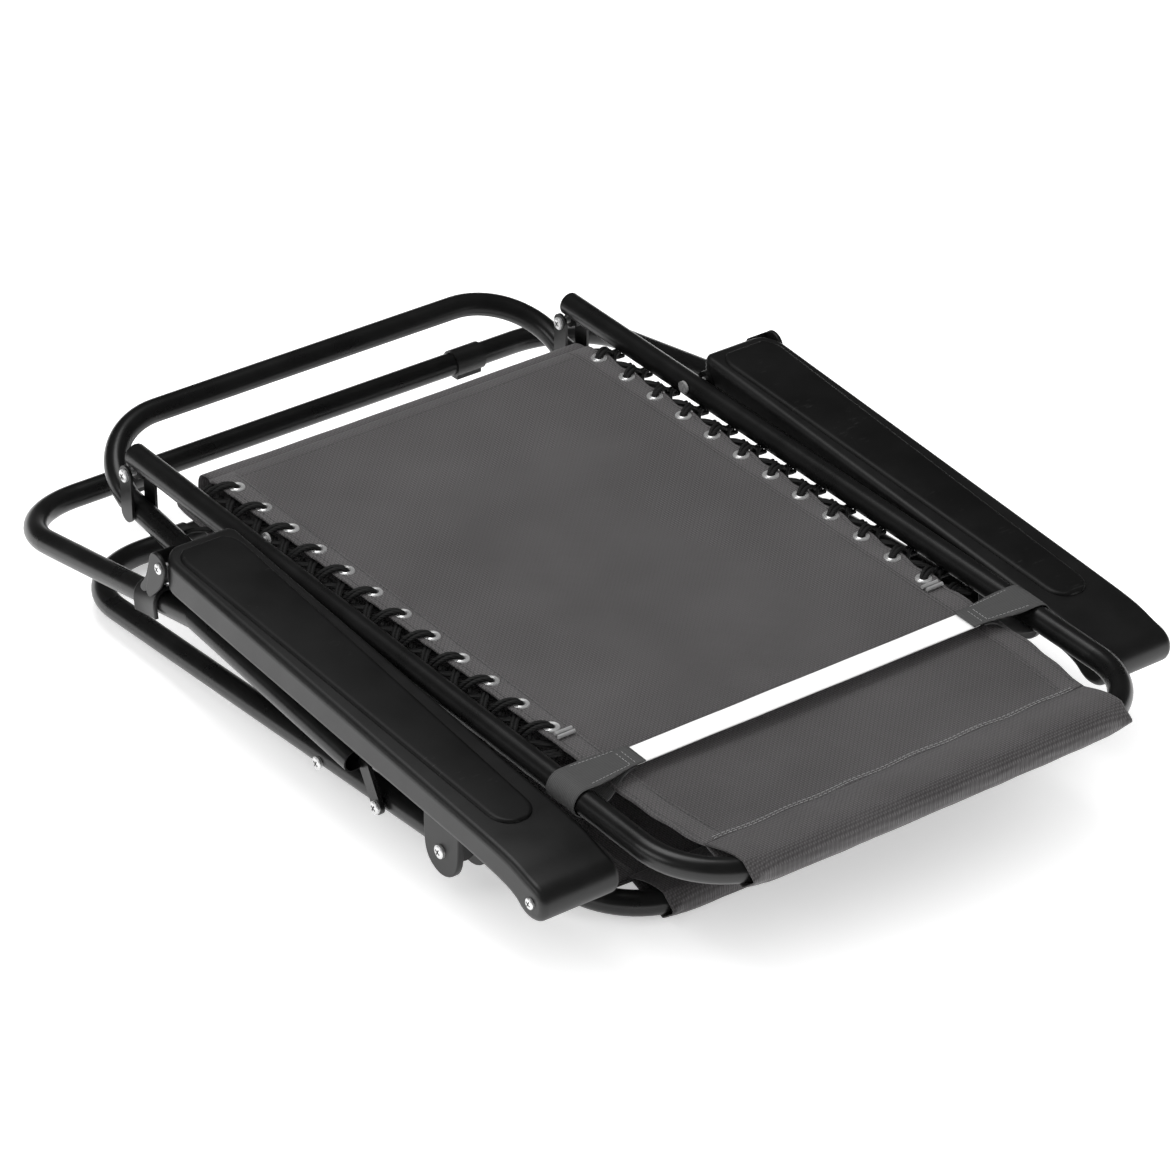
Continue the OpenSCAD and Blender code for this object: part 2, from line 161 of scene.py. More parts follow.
def grained(name, dark, light, rough_low, rough_high, grain, strength, metallic=0.0):
    """Painted, plated or moulded surface: mottled colour and roughness with a fine grain."""
    mat, nt, bsdf = new_material(name)
    co = object_coords(nt)
    broad = noise_node(nt, co, 22, 4.0, 0.6)
    fine = noise_node(nt, co, grain, 2.0)
    nt.links.new(ramp(nt, broad, [(0.3, dark), (0.7, light)]), bsdf.inputs["Base Color"])
    nt.links.new(ramp(nt, broad, [(0.25, rough_low), (0.75, rough_high)]), bsdf.inputs["Roughness"])
    bsdf.inputs["Metallic"].default_value = metallic
    bump(nt, bsdf, fine, strength, 0.0002)
    return mat


def woven(name, dark, light, thread, rough, strength, diagonal=0.35):
    """Plain weave of coated yarn with a faint diagonal, in object coordinates."""
    mat, nt, bsdf = new_material(name)
    co = object_coords(nt)
    turned = object_coords(nt, (1, 1, 1), (0, 0, math.radians(45)))
    k = 2 * math.pi / (20 * thread)
    warp = wave_node(nt, co, k, "X")
    weft = wave_node(nt, co, k, "Y")
    twill = wave_node(nt, turned, k * 0.7, "X")
    grid = math_node(nt, "MULTIPLY", warp, weft)
    height = math_node(nt, "ADD", grid, math_node(nt, "MULTIPLY", twill, diagonal))
    patchy = noise_node(nt, co, 9, 5.0, 0.6)
    tone = math_node(nt, "ADD", math_node(nt, "MULTIPLY", height, 0.55),
                     math_node(nt, "MULTIPLY", patchy, 0.45))
    nt.links.new(ramp(nt, tone, [(0.2, dark), (0.8, light)]), bsdf.inputs["Base Color"])
    nt.links.new(ramp(nt, patchy, [(0.2, rough - 0.07), (0.8, rough + 0.07)]),
                 bsdf.inputs["Roughness"])
    bsdf.inputs["Sheen Weight"].default_value = 0.12
    bump(nt, bsdf, height, strength, 0.0006)
    return mat


def ribbed(name, dark, light, pitch, direction, rough, strength):
    """Webbing or elastic: ribs one way, with a fine noise over them."""
    mat, nt, bsdf = new_material(name)
    co = object_coords(nt)
    ribs = wave_node(nt, co, 2 * math.pi / (20 * pitch), direction, 0.4)
    fuzz = noise_node(nt, co, 700, 3.0)
    tone = math_node(nt, "ADD", math_node(nt, "MULTIPLY", ribs, 0.5),
                     math_node(nt, "MULTIPLY", fuzz, 0.5))
    nt.links.new(ramp(nt, tone, [(0.2, dark), (0.8, light)]), bsdf.inputs["Base Color"])
    nt.links.new(ramp(nt, fuzz, [(0.3, rough - 0.08), (0.7, rough + 0.08)]),
                 bsdf.inputs["Roughness"])
    bump(nt, bsdf, ribs, strength, 0.0004)
    return mat


def scuffed_pad(name):
    """Satin pad top with short pale scratches here and there."""
    mat, nt, bsdf = new_material(name)
    co = object_coords(nt)
    broad = noise_node(nt, co, 18, 4.0, 0.6)
    fine = noise_node(nt, co, 1500, 2.0)
    streaks = noise_node(nt, object_coords(nt, (60, 900, 60), (0, 0, 0.5)), 1.0, 2.0)
    where = noise_node(nt, object_coords(nt, (30, 30, 30)), 1.0, 1.0)
    mask = math_node(nt, "MULTIPLY", math_node(nt, "GREATER_THAN", streaks, 0.68),
                     math_node(nt, "GREATER_THAN", where, 0.6))
    base = ramp(nt, broad, [(0.3, 0.0030), (0.7, 0.0055)])
    mix = nt.nodes.new("ShaderNodeMix")
    mix.data_type = "RGBA"
    nt.links.new(math_node(nt, "MULTIPLY", mask, 0.18), mix.inputs["Factor"])
    nt.links.new(base, mix.inputs["A"])
    nt.links.new(ramp(nt, fine, [(0.2, 0.06), (0.8, 0.12)]), mix.inputs["B"])
    nt.links.new(mix.outputs["Result"], bsdf.inputs["Base Color"])
    nt.links.new(ramp(nt, broad, [(0.25, 0.40), (0.75, 0.52)]), bsdf.inputs["Roughness"])
    bsdf.inputs["Specular IOR Level"].default_value = 0.35
    bump(nt, bsdf, fine, 0.10, 0.0002)
    return mat


M = {
    "powder_coat": grained("powder_coat", 0.0035, 0.0065, 0.25, 0.34, 1800, 0.05),
    "zinc": grained("zinc", 0.66, 0.86, 0.22, 0.36, 900, 0.05, metallic=0.75),
    "moulded_plastic": grained("moulded_plastic", 0.0045, 0.0080, 0.36, 0.46, 1500, 0.10),
    "arm_pad": scuffed_pad("arm_pad"),
    "black_plastic": grained("black_plastic", 0.0030, 0.0060, 0.34, 0.44, 1200, 0.08),
    "bungee": ribbed("bungee", 0.0025, 0.0120, 0.0016, "DIAGONAL", 0.68, 0.6),
    "textilene": woven("textilene", (0.030, 0.027, 0.028), (0.082, 0.077, 0.079), 0.0024, 0.60, 0.55),
    "hem": woven("hem", (0.038, 0.035, 0.036), (0.098, 0.093, 0.095), 0.0024, 0.58, 0.55),
    "webbing": ribbed("webbing", 0.040, 0.075, 0.0018, "Y", 0.70, 0.5),
    "elastic": ribbed("elastic", 0.78, 0.90, 0.0015, "X", 0.75, 0.25),
    "dark_thread": ribbed("dark_thread", 0.045, 0.085, 0.0010, "X", 0.65, 0.3),
    "thread": ribbed("thread", 0.22, 0.36, 0.0010, "X", 0.65, 0.3),
}


# ---------------------------------------------------------------- mesh helpers
def make(name, verts, faces, mat, smooth=True):
    me = bpy.data.meshes.new(name)
    me.from_pydata([tuple(map(float, v)) for v in verts], [], [tuple(map(int, f)) for f in faces])
    me.update()
    me.materials.append(M[mat])
    for p in me.polygons:
        p.use_smooth = smooth
    obj = bpy.data.objects.new(name, me)
    bpy.context.scene.collection.objects.link(obj)
    return obj


def grid_faces(nu, nv, start=0, close_u=False, close_v=False):
    faces = []
    for i in range(nu if close_u else nu - 1):
        for j in range(nv if close_v else nv - 1):
            a, b = i * nv + j, ((i + 1) % nu) * nv + j
            c, d = ((i + 1) % nu) * nv + (j + 1) % nv, i * nv + (j + 1) % nv
            faces.append((start + a, start + b, start + c, start + d))
    return faces


def grid(name, points, mat, close_u=False, close_v=False):
    nu, nv = points.shape[:2]
    return make(name, points.reshape(-1, 3), grid_faces(nu, nv, 0, close_u, close_v), mat)


def thick(obj, t, offset=0.0):
    m = obj.modifiers.new("thickness", "SOLIDIFY")
    m.thickness = t
    m.offset = offset
    return obj


class Batch:
    """Collects many small pieces into one mesh."""

    def __init__(self):
        self.v, self.f, self.n = [], [], 0

    def add(self, verts, faces):
        self.v.append(np.asarray(verts, float))
        self.f += [tuple(k + self.n for k in f) for f in faces]
        self.n += len(verts)

    def done(self, name, mat):
        return make(name, np.vstack(self.v), self.f, mat)


def smooth_path(points, per=6):
    """Catmull-Rom through the points."""
    p = np.asarray(points, float)
    q = np.vstack([2 * p[0] - p[1], p, 2 * p[-1] - p[-2]])
    out = []
    for i in range(1, len(q) - 2):
        for t in np.linspace(0, 1, per, endpoint=False):
            a, b, c, d = q[i - 1], q[i], q[i + 1], q[i + 2]
            out.append(0.5 * (2 * b + (c - a) * t + (2 * a - 5 * b + 4 * c - d) * t * t
                              + (3 * b - a - 3 * c + d) * t ** 3))
    out.append(p[-1])
    return np.array(out)


def tube(batch, path, radius, sides=8):
    path = np.asarray(path, float)
    tangent = np.gradient(path, axis=0)
    tangent /= np.linalg.norm(tangent, axis=1)[:, None]
    ref = np.array([0, 0, 1.0]) if abs(tangent[0][2]) < 0.9 else np.array([1.0, 0, 0])
    u = np.cross(tangent[0], ref)
    u /= np.linalg.norm(u)
    rings = []
    for p, t in zip(path, tangent):
        u = u - t * np.dot(u, t)
        u /= np.linalg.norm(u)
        w = np.cross(t, u)
        a = np.linspace(0, 2 * math.pi, sides, endpoint=False)[:, None]
        rings.append(p + radius * (np.cos(a) * u + np.sin(a) * w))
    n = len(path)
    verts = np.vstack(rings)
    faces = grid_faces(n, sides, 0, close_v=True)
    faces.append(tuple(range(sides))[::-1])
    faces.append(tuple(range((n - 1) * sides, n * sides)))
    batch.add(verts, faces)


def revolve(batch, centre, profile, tilt=0.0, sides=24):
    """Closed ring about Z from (radius, height) points, tilted about X."""
    a = np.linspace(0, 2 * math.pi, sides, endpoint=False)
    pts = np.array([[(r * math.cos(t), r * math.sin(t), h) for r, h in profile] for t in a])
    pts = pts.reshape(-1, 3)
    y, z = pts[:, 1] * math.cos(tilt) - pts[:, 2] * math.sin(tilt), \
        pts[:, 1] * math.sin(tilt) + pts[:, 2] * math.cos(tilt)
    pts = np.column_stack([pts[:, 0], y, z]) + np.asarray(centre)
    batch.add(pts, grid_faces(sides, len(profile), 0, True, True))


def stitch_run(batch, points, length=0.0030, gap=0.0016, radius=0.00035):
    """Short raised stitches along a line of points."""
    p = np.asarray(points, float)
    s = np.concatenate([[0], np.cumsum(np.linalg.norm(np.diff(p, axis=0), axis=1))])
    at = lambda d: np.array([np.interp(d, s, p[:, k]) for k in range(3)])
    d = 0.0
    while d + length < s[-1]:
        a, m, b = at(d), at(d + length / 2), at(d + length)
        low = np.array([0, 0, 0.0002])
        tube(batch, [a - low, m + low, b - low], radius, 4)
        d += length + gap


def wobble(x, y, scale, seed=0.0):
    return noise.noise(Vector((x * scale + seed, y * scale - seed, seed * 0.37)))


def place(obj, body, slot, *nodes):
    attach(obj, body)
    if nodes:
        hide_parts(*nodes)
    return obj


# ---------------------------------------------------------------- carried-over CAD nodes
SLOT_OF = {s["node"]: s["material_slot"] for s in frame["record"]["subparts"]}
for name, obj in frame["nodes"].items():
    obj.data.materials.clear()
    obj.data.materials.append(M[SLOT_OF[name]])


# ---------------------------------------------------------------- back sling
def cloth_z(x, y):
    """Back sling: stretched flat, with a slight dip and soft pulls at the eyelets."""
    across = 1 - (x / SLING_X) ** 2
    mid = (y - SLING_LOW) / (SLING_HIGH - SLING_LOW)
    dip = -0.0045 * across * math.sin(math.pi * min(max(mid, 0), 1)) ** 0.7
    edge = math.exp(-((SLING_X - abs(x)) / 0.016) ** 2)
    pull = 0.0007 * math.cos(2 * math.pi * (y - EYELETS[0]) / PITCH) * edge
    soft = 0.0007 * wobble(x, y, 9, 3.1) * across
    lift = 0.0015 * max(0, 1 - (y - SLING_LOW) / 0.03) ** 2
    fall = -0.0035 * max(0, (y - SLING_HIGH + 0.02) / 0.02) ** 2
    return plane_z(y) + dip + pull + soft + lift + fall


def sling_side(y):
    """Edge of the back sling before the cord's pull scallops it."""
    return SLING_X - 0.001 - 0.010 * max(0, 1 - (y - SLING_LOW) / 0.09) ** 1.5


def sling_edge(y):
    laced = EYELETS[-1] - 0.03 < y < EYELETS[0] + 0.02
    scallop = 0.0022 * (1 - math.cos(2 * math.pi * (y - EYELETS[0]) / PITCH)) / 2 if laced else 0.001
    return sling_side(y) + 0.001 - scallop


ys = np.linspace(SLING_LOW, SLING_HIGH, 240)
us = np.linspace(-1, 1, 111)
us = np.sign(us) * (1 - (1 - abs(us)) ** 1.35)
pts = np.array([[(u * sling_edge(y), y, cloth_z(u * sling_edge(y), y)) for u in us] for y in ys])
back_sling = thick(grid("back_sling_cloth", pts, "textilene"), 0.0012)
place(back_sling, "back", "textilene", "back_sling")

for side, label in ((-1, "left"), (1, "right")):
    rows = []
    for y in ys[1:-1]:
        e = sling_edge(y)
        inner = sling_side(y) - 0.0235 + 0.0009 * wobble(y, side, 22, 4.0)
        xs = np.array([inner, inner + 0.0007, e - 0.018, e - 0.010, e - 0.003, e + 0.0002, e + 0.0011,
                       e + 0.0011, e + 0.0002, e - 0.004])
        up = np.array([0.0002, 0.0010, 0.0013, 0.0014, 0.0013, 0.0011, 0.0004, -0.0006,
                       -0.0012, -0.0012])
        rows.append([(side * x, y, cloth_z(side * min(x, SLING_X), y) + h) for x, h in zip(xs, up)])
    rows = np.array(rows)
    if side < 0:
        rows = rows[:, ::-1]
    hem = thick(grid("back_hem_" + label, rows, "hem"), 0.0005)
    place(hem, "back", "textilene")

seams = Batch()
for side in (-1, 1):
    for edge, inset in ((sling_side, 0.0208), (sling_edge, 0.0034)):
        line = [(side * (edge(y) - inset), y, cloth_z(side * (edge(y) - inset), y) + 0.0017)
                for y in ys[4:-3]]
        stitch_run(seams, line)
line = [(x, SLING_HIGH - 0.016, cloth_z(x, SLING_HIGH - 0.016) + 0.0007)
        for x in np.linspace(-0.185, 0.185, 90)]
stitch_run(seams, line)
back_seams = place(seams.done("back_sling_stitches", "dark_thread"), "back", "textilene")


# ---------------------------------------------------------------- eyelets
RIM = [(0.0036, 0.0000), (0.0036, 0.0015), (0.0041, 0.0023), (0.0050, 0.0025), (0.0055, 0.0019),
       (0.0059, 0.0018), (0.0065, 0.0022), (0.0072, 0.0020), (0.0077, 0.0011), (0.0077, 0.0006),
       (0.0077, -0.0008), (0.0072, -0.0016), (0.0054, -0.0018), (0.0040, -0.0017), (0.0036, -0.0010)]
ring = Batch()
for y in EYELETS:
    for side in (-1, 1):
        revolve(ring, (side * EYELET_X, y, cloth_z(side * EYELET_X, y) + 0.0003), RIM, 0.035)
back_eyelets = place(ring.done("back_eyelet_rings", "zinc"), "back", "zinc", "back_eyelets")


# ---------------------------------------------------------------- lacing
CORD_R = 0.0021


def over_run(batch, side, y, z, k):
    """Cord that comes up through an eyelet, over the hem and down round the tube's inner side."""
    lean = 0.35 * PITCH
    raw = [(0.1975, y - 0.001, z - 0.0070), (0.1980, y + k * 0.4, z - 0.0005),
           (0.2005, y + k * 0.8 + lean * 0.08, z + 0.0036),
           (0.2065, y + k + lean * 0.28, z + 0.0049),
           (0.2130, y + k + lean * 0.50, z + 0.0030),
           (0.2190, y + k + lean * 0.72, z - 0.0020),
           (0.2240, y + k + lean * 0.92, z - 0.0085),
           (0.2305, y + k + lean * 1.05, z - 0.0128),
           (0.2380, y + k + lean * 1.12, z - 0.0140)]
    tube(batch, smooth_path([(side * p[0], p[1], p[2]) for p in raw], 4), CORD_R, 8)


def under_run(batch, side, y, z, k):
    """Cord that comes back from under the tube to the next eyelet, below the hem."""
    start, end = y + 0.35 * PITCH * 1.10, y + PITCH
    raw = [(0.2380, start + k * 0.9, z - 0.0142), (0.2310, start + k + 0.001, z - 0.0128),
           (0.2240, start + (end - start) * 0.16 + k, z - 0.0070),
           (0.2185, start + (end - start) * 0.36 + k, z - 0.0035),
           (0.2130, start + (end - start) * 0.58 + k, z - 0.0030),
           (0.2070, start + (end - start) * 0.80 + k, z - 0.0040),
           (0.2010, end + k * 0.6, z - 0.0050), (0.1975, end, z - 0.0030)]
    tube(batch, smooth_path([(side * p[0], p[1], p[2]) for p in raw], 4), CORD_R, 8)


for side, label, body_node in ((-1, "left", "back_lacing_left"), (1, "right", "back_lacing_right")):
    cords = Batch()
    for i, y in enumerate(EYELETS):
        z = plane_z(y)
        for k in (-0.0023, 0.0023):
            over_run(cords, side, y + 0.0012 * wobble(y, k, 300, side), z, k)
            if i > 0:
                under_run(cords, side, y, z, k)
            else:
                tube(cords, smooth_path([(side * 0.2360, y + 0.016 + k, z - 0.0142),
                                         (side * 0.2240, y + 0.020 + k, z - 0.0085),
                                         (side * 0.2120, y + 0.024 + k, z - 0.0060),
                                         (side * 0.2010, y + 0.020 + k, z - 0.0060)], 4), CORD_R, 8)
            tube(cords, smooth_path([(side * 0.2360, y + 0.020 + k, z - 0.0120),
                                     (side * 0.2270, y + 0.014 + k, z - 0.0085),
                                     (side * 0.2180, y + 0.004 + k, z - 0.0080),
                                     (side * 0.2090, y - 0.008 + k, z - 0.0075),
                                     (side * 0.2000, y - 0.014 + k, z - 0.0075)], 4), CORD_R, 8)
            tube(cords, smooth_path([(side * 0.2360, y - 0.018 + k, z - 0.0165),
                                     (side * 0.2270, y - 0.008 + k, z - 0.0150),
                                     (side * 0.2170, y + 0.004 + k, z - 0.0140),
                                     (side * 0.2060, y + 0.016 + k, z - 0.0125)], 4), CORD_R, 8)
            tube(cords, smooth_path([(side * 0.2340, y - 0.004 + k, z - 0.0155),
                                     (side * 0.2255, y - 0.008 + k, z - 0.0130),
                                     (side * 0.2160, y - 0.015 + k, z - 0.0110),
                                     (side * 0.2060, y - 0.021 + k, z - 0.0095)], 4), CORD_R, 8)
    place(cords.done("back_lacing_cord_" + label, "bungee"), "back", "bungee", body_node)


# ---------------------------------------------------------------- sleeves round the cross bars
def bar_line(x, bar_y, toward):
    """Centre line of the cloth round a cross bar at x: it follows the corner bends a little."""
    over = max(0.0, abs(x) - (TUBE_X - BEND_R))
    return bar_y + 0.35 * toward * (BEND_R - math.sqrt(max(BEND_R ** 2 - over ** 2, 0)))


def sleeve(name, bar_y, bar_z, seam_y, seam_z, toward, half, seed):
    """Cloth that leaves a seam, goes over the bar, round it and back to the seam underneath."""
    xs = np.linspace(-half, half, 150)
    rows = []
    for x in xs:
        yb = bar_line(x, bar_y, toward)
        end = abs(x) / half
        r = TUBE_R + 0.0014 + 0.0012 * (1 - end ** 4)
        flare = 0.0020 * max(0, (end - 0.93) / 0.07)
        pinch = max(0.0, (end - 0.90) / 0.10) ** 1.5
        ring = []
        for k in range(25):
            a = math.radians(100 + k * (160 / 24)) if toward > 0 else math.radians(80 - k * (160 / 24))
            rr = r + flare + 0.0006 * wobble(x, k * 0.01, 40, seed)
            out = max(0.0, -toward * math.cos(a)) * pinch
            ring.append((yb + rr * math.cos(a) * (1 + 0.18 * out),
                         max(bar_z + rr * math.sin(a) * (1 - 0.70 * out), 0.0008)))
        sy = seam_y + toward * 0.002 * wobble(x, 0, 14, seed)
        up = []
        for t in np.linspace(0, 1, 16, endpoint=False):
            y = sy + (ring[0][0] - sy) * t
            s = t * t * (3 - 2 * t)
            fold = 0.0016 * math.sin(math.pi * t) * wobble(x * 1.0 + t * 0.02, t * 0.02, 26, seed + 2)
            up.append((y, seam_z(x) + (ring[0][1] - seam_z(x)) * (0.35 * t + 0.65 * s) + fold
                       + 0.0022 * math.sin(math.pi * t)))
        down = []
        for t in np.linspace(0, 1, 12)[1:]:
            y = ring[-1][0] + (sy - ring[-1][0]) * t
            down.append((y, ring[-1][1] + (seam_z(x) - 0.0014 - ring[-1][1]) * t))
        rows.append([(x, y, z) for y, z in up + ring + down])
    pts = np.array(rows)
    if toward < 0:
        pts = pts[::-1]
    return thick(grid(name, pts, "textilene"), 0.0011), pts


head_z = plane_z(HEAD_Y)
head_sleeve, head_pts = sleeve("head_sleeve_cloth", HEAD_Y, head_z, SLING_LOW + 0.003,
                               lambda x: plane_z(SLING_LOW) + 0.0022, 1, 0.199, 5.2)
place(head_sleeve, "back", "textilene", "back_head_sleeve")

head_stitch = Batch()
for k, ripple in ((0.0035, 0.0010), (0.0062, 0.0008)):
    line = []
    for x in np.linspace(-0.190, 0.190, 120):
        y = SLING_LOW + k + ripple * math.sin(x * 95) + 0.0012 * wobble(x, 1, 20, 2)
        line.append((x, y, plane_z(SLING_LOW) + 0.0037))
    stitch_run(head_stitch, line, 0.0034, 0.0014, 0.0004)
head_stitches = place(head_stitch.done("head_sleeve_stitches", "thread"), "back", "textilene")


# ---------------------------------------------------------------- seat sling and its lacing
SEAT_LOW, SEAT_HIGH = -0.305, 0.345
SEAT_PITCH = 0.040
SEAT_EYELETS = [-0.273 + SEAT_PITCH * i for i in range(15)]
FOOT_BAR = (-0.345, 0.013)
FRONT_SLOPE, REAR_SLOPE = 0.017 / 0.322, 0.052 / 0.395


def seat_z(y):
    """Height of the middle of the seat's cloth, which bends at the pivot."""
    knee, knee_z = SEAT_PIVOT
    rear = knee_z + (y - knee) * REAR_SLOPE
    front = FOOT_BAR[1] + (y - FOOT_BAR[0]) * FRONT_SLOPE
    t = min(max((y - knee + 0.03) / 0.06, 0), 1)
    t = t * t * (3 - 2 * t)
    return front * (1 - t) + rear * t


def seat_cloth_z(x, y):
    across = 1 - (x / SLING_X) ** 2
    edge = math.exp(-((SLING_X - abs(x)) / 0.016) ** 2)
    return (seat_z(y) - 0.0035 * across + 0.0006 * wobble(x, y, 8, 7.7) * across
            + 0.0006 * math.cos(2 * math.pi * (y - SEAT_EYELETS[0]) / SEAT_PITCH) * edge)


def seat_edge(y):
    return SLING_X - 0.0010 * (1 - math.cos(2 * math.pi * (y - SEAT_EYELETS[0]) / SEAT_PITCH))


sy = np.linspace(SEAT_LOW, SEAT_HIGH, 200)
pts = np.array([[(u * seat_edge(y), y, seat_cloth_z(u * seat_edge(y), y)) for u in us] for y in sy])
seat_sling = thick(grid("seat_sling_cloth", pts, "textilene"), 0.0012)
place(seat_sling, "seat", "textilene", "seat_sling")

for side, label in ((-1, "left"), (1, "right")):
    rows = []
    for y in sy[1:-1]:
        e = seat_edge(y)
        xs = np.array([e - 0.0238, e - 0.018, e - 0.010, e - 0.003, e + 0.0005, e + 0.0010,
                       e + 0.0010, e + 0.0005, e - 0.004, e - 0.018, e - 0.0238])
        up = np.array([0.0008, 0.0012, 0.0013, 0.0012, 0.0009, 0.0003, -0.0003, -0.0009, -0.0012,
                       -0.0012, -0.0008])
        rows.append([(side * x, y, seat_cloth_z(side * min(x, SLING_X), y) + h)
                     for x, h in zip(xs, up)])
    rows = np.array(rows)
    if side < 0:
        rows = rows[:, ::-1]
    hem = thick(grid("seat_hem_" + label, rows, "hem"), 0.0005)
    place(hem, "seat", "textilene")

ring = Batch()
for y in SEAT_EYELETS:
    for side in (-1, 1):
        tilt = math.atan((seat_z(y + 0.005) - seat_z(y - 0.005)) / 0.01)
        revolve(ring, (side * EYELET_X, y, seat_cloth_z(side * EYELET_X, y) + 0.0002), RIM, tilt)
seat_eyelets = place(ring.done("seat_eyelet_rings", "zinc"), "seat", "zinc", "seat_eyelets")

for side, label in ((-1, "left"), (1, "right")):
    cords = Batch()
    for y in SEAT_EYELETS:
        z = seat_cloth_z(side * EYELET_X, y)
        for way in (-1, 1):
            for k in (-1, 1):
                zc = seat_z(y + way * 0.024)
                raw = [(0.199, y + k * 0.001, z - 0.004),
                       (0.2035, y + k * 0.002 + way * 0.003, z + 0.0042),
                       (0.2105, y + k * 0.002 + way * 0.009, z + 0.0040),
                       (0.2190, y + k * 0.002 + way * 0.018, z + 0.0008 + way * 0.0012),
                       (0.2262, y + k * 0.002 + way * 0.024, zc - 0.0080),
                       (0.2320, y + k * 0.002 + way * 0.026, zc - 0.0132)]
                tube(cords, smooth_path([(side * a, b, c) for a, b, c in raw], 3), 0.0017, 6)
    place(cords.done("seat_lacing_cord_" + label, "bungee"), "seat", "bungee",
          "seat_lacing_" + label)

foot_sleeve, foot_pts = sleeve("foot_sleeve_cloth", *FOOT_BAR, SEAT_LOW + 0.003,
                               lambda x: seat_z(SEAT_LOW) + 0.0020, 1, 0.192, 8.4)
place(foot_sleeve, "seat", "textilene", "seat_foot_sleeve")


# ---------------------------------------------------------------- hip: the cloth turns down to the seat
profile = smooth_path([(SLING_HIGH - 0.004, plane_z(SLING_HIGH) - 0.0040), (0.2955, 0.1268),
                       (0.3035, 0.1245), (0.3100, 0.1180), (0.3125, 0.1080), (0.3110, 0.0960),
                       (0.3120, 0.0860), (0.3180, 0.0795), (0.3290, 0.0770), (0.3400, 0.0774)], 6)
rows = []
for x in np.linspace(-SLING_X + 0.002, SLING_X - 0.002, 90):
    line = []
    for k, (y, z) in enumerate(profile):
        t = k / (len(profile) - 1)
        ease = math.sin(math.pi * t)
        line.append((x * (1 - 0.012 * ease), y + 0.0016 * wobble(x, t * 0.1, 17, 6.5) * ease,
                     z + 0.0012 * wobble(x, t * 0.1, 13, 1.5) * ease))
    rows.append(line)
hip = thick(grid("hip_cloth", np.array(rows), "textilene"), 0.0012)
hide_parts("hip_fold")
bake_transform(hip)


# ---------------------------------------------------------------- webbing loops, band and pillow
def tilted(y, z, base_y):
    """Point at (y, z) measured from the back plane at base_y, tilted with the back."""
    c, s = math.cos(math.atan(SLOPE)), math.sin(math.atan(SLOPE))
    return base_y + y * c - z * s, plane_z(base_y) + y * s + z * c


R = TUBE_R + 0.0012
LOOP = [(0.1745, TUBE_R - 0.0002), (0.190, TUBE_R + 0.0002), (0.210, TUBE_R + 0.0008), (0.228, R)]
LOOP += [(TUBE_X + R * math.sin(a), R * math.cos(a)) for a in np.radians(range(0, 176, 25))]
LOOP += [(0.229, -0.0102), (0.215, -0.0055), (0.205, 0.0020), (0.196, 0.0082), (0.186, 0.0098)]
LOOP = smooth_path([(x, 0, z) for x, z in LOOP], 5)

for side, label in ((-1, "left"), (1, "right")):
    rows, marks = [], Batch()
    for x, _, z in LOOP:
        spread = min(max((x - 0.180) / 0.045, 0), 1)
        w = 0.0132 + 0.0052 * spread * spread * (3 - 2 * spread)
        line = []
        for t in np.linspace(-1, 1, 17):
            droop = 0.0005 * (1 - t * t) + 0.0004 * wobble(x, t * 0.05, 60, side * 2.0)
            lean = -0.002 * spread
            y, zz = tilted(t * w + lean, z + droop, STRAP_Y)
            line.append((side * x, y, zz))
        rows.append(line)
    rows = np.array(rows)
    if side < 0:
        rows = rows[:, ::-1]
    loop = thick(grid("strap_loop_cloth_" + label, rows, "webbing"), 0.0011, 1.0)
    place(loop, "pillow", "webbing", "strap_loop_" + label)
    for a, b in (((0.184, -0.011), (0.184, 0.011)), ((0.1895, -0.011), (0.1895, 0.011)),
                 ((0.190, 0.0118), (0.232, 0.0135)), ((0.190, -0.0118), (0.232, -0.0165))):
        seg = []
        for t in np.linspace(0, 1, 24):
            x, v = a[0] + (b[0] - a[0]) * t, a[1] + (b[1] - a[1]) * t
            h = TUBE_R + 0.0018 + 0.0008 * min(max((x - 0.19) / 0.04, 0), 1)
            y, zz = tilted(v, h, STRAP_Y)
            seg.append((side * x, y, zz))
        stitch_run(marks, seg, 0.0026, 0.0013, 0.0003)
    place(marks.done("strap_loop_stitches_" + label, "thread"), "pillow", "webbing")

rows = []
for x in np.linspace(-0.182, 0.182, 80):
    line = []
    for t in np.linspace(-1, 1, 9):
        y, z = tilted(t * 0.0118 + 0.0006 * wobble(x, 0, 8, 4.4),
                      TUBE_R - 0.0010 + 0.0003 * wobble(x, t * 0.1, 22, 9.0), STRAP_Y)
        line.append((x, y, z))
    rows.append(line)
band = thick(grid("elastic_band_cloth", np.array(rows), "elastic"), 0.0010, -1.0)
place(band, "pillow", "elastic", "elastic_band")

PIL = (0.163, 0.083, 0.0205)
pil_z = plane_z(STRAP_Y) - 0.026


def pillow_point(u, v, sign):
    fu, fv = 1 - abs(u) ** 3.2, 1 - abs(v) ** 2.6
    h = max(fu, 0) ** 0.42 * max(fv, 0) ** 0.5
    pull = 1 - 0.020 * (1 - abs(u) ** 4) * abs(v) ** 8
    side_in = 1 - 0.012 * (1 - abs(v) ** 4) * abs(u) ** 8
    x, y = u * PIL[0] * side_in, v * PIL[1] * pull
    crease = 0.0009 * wobble(x, y, 24, 12.0 + sign) * h
    return x, STRAP_Y + y, pil_z + sign * (PIL[2] * h) + crease


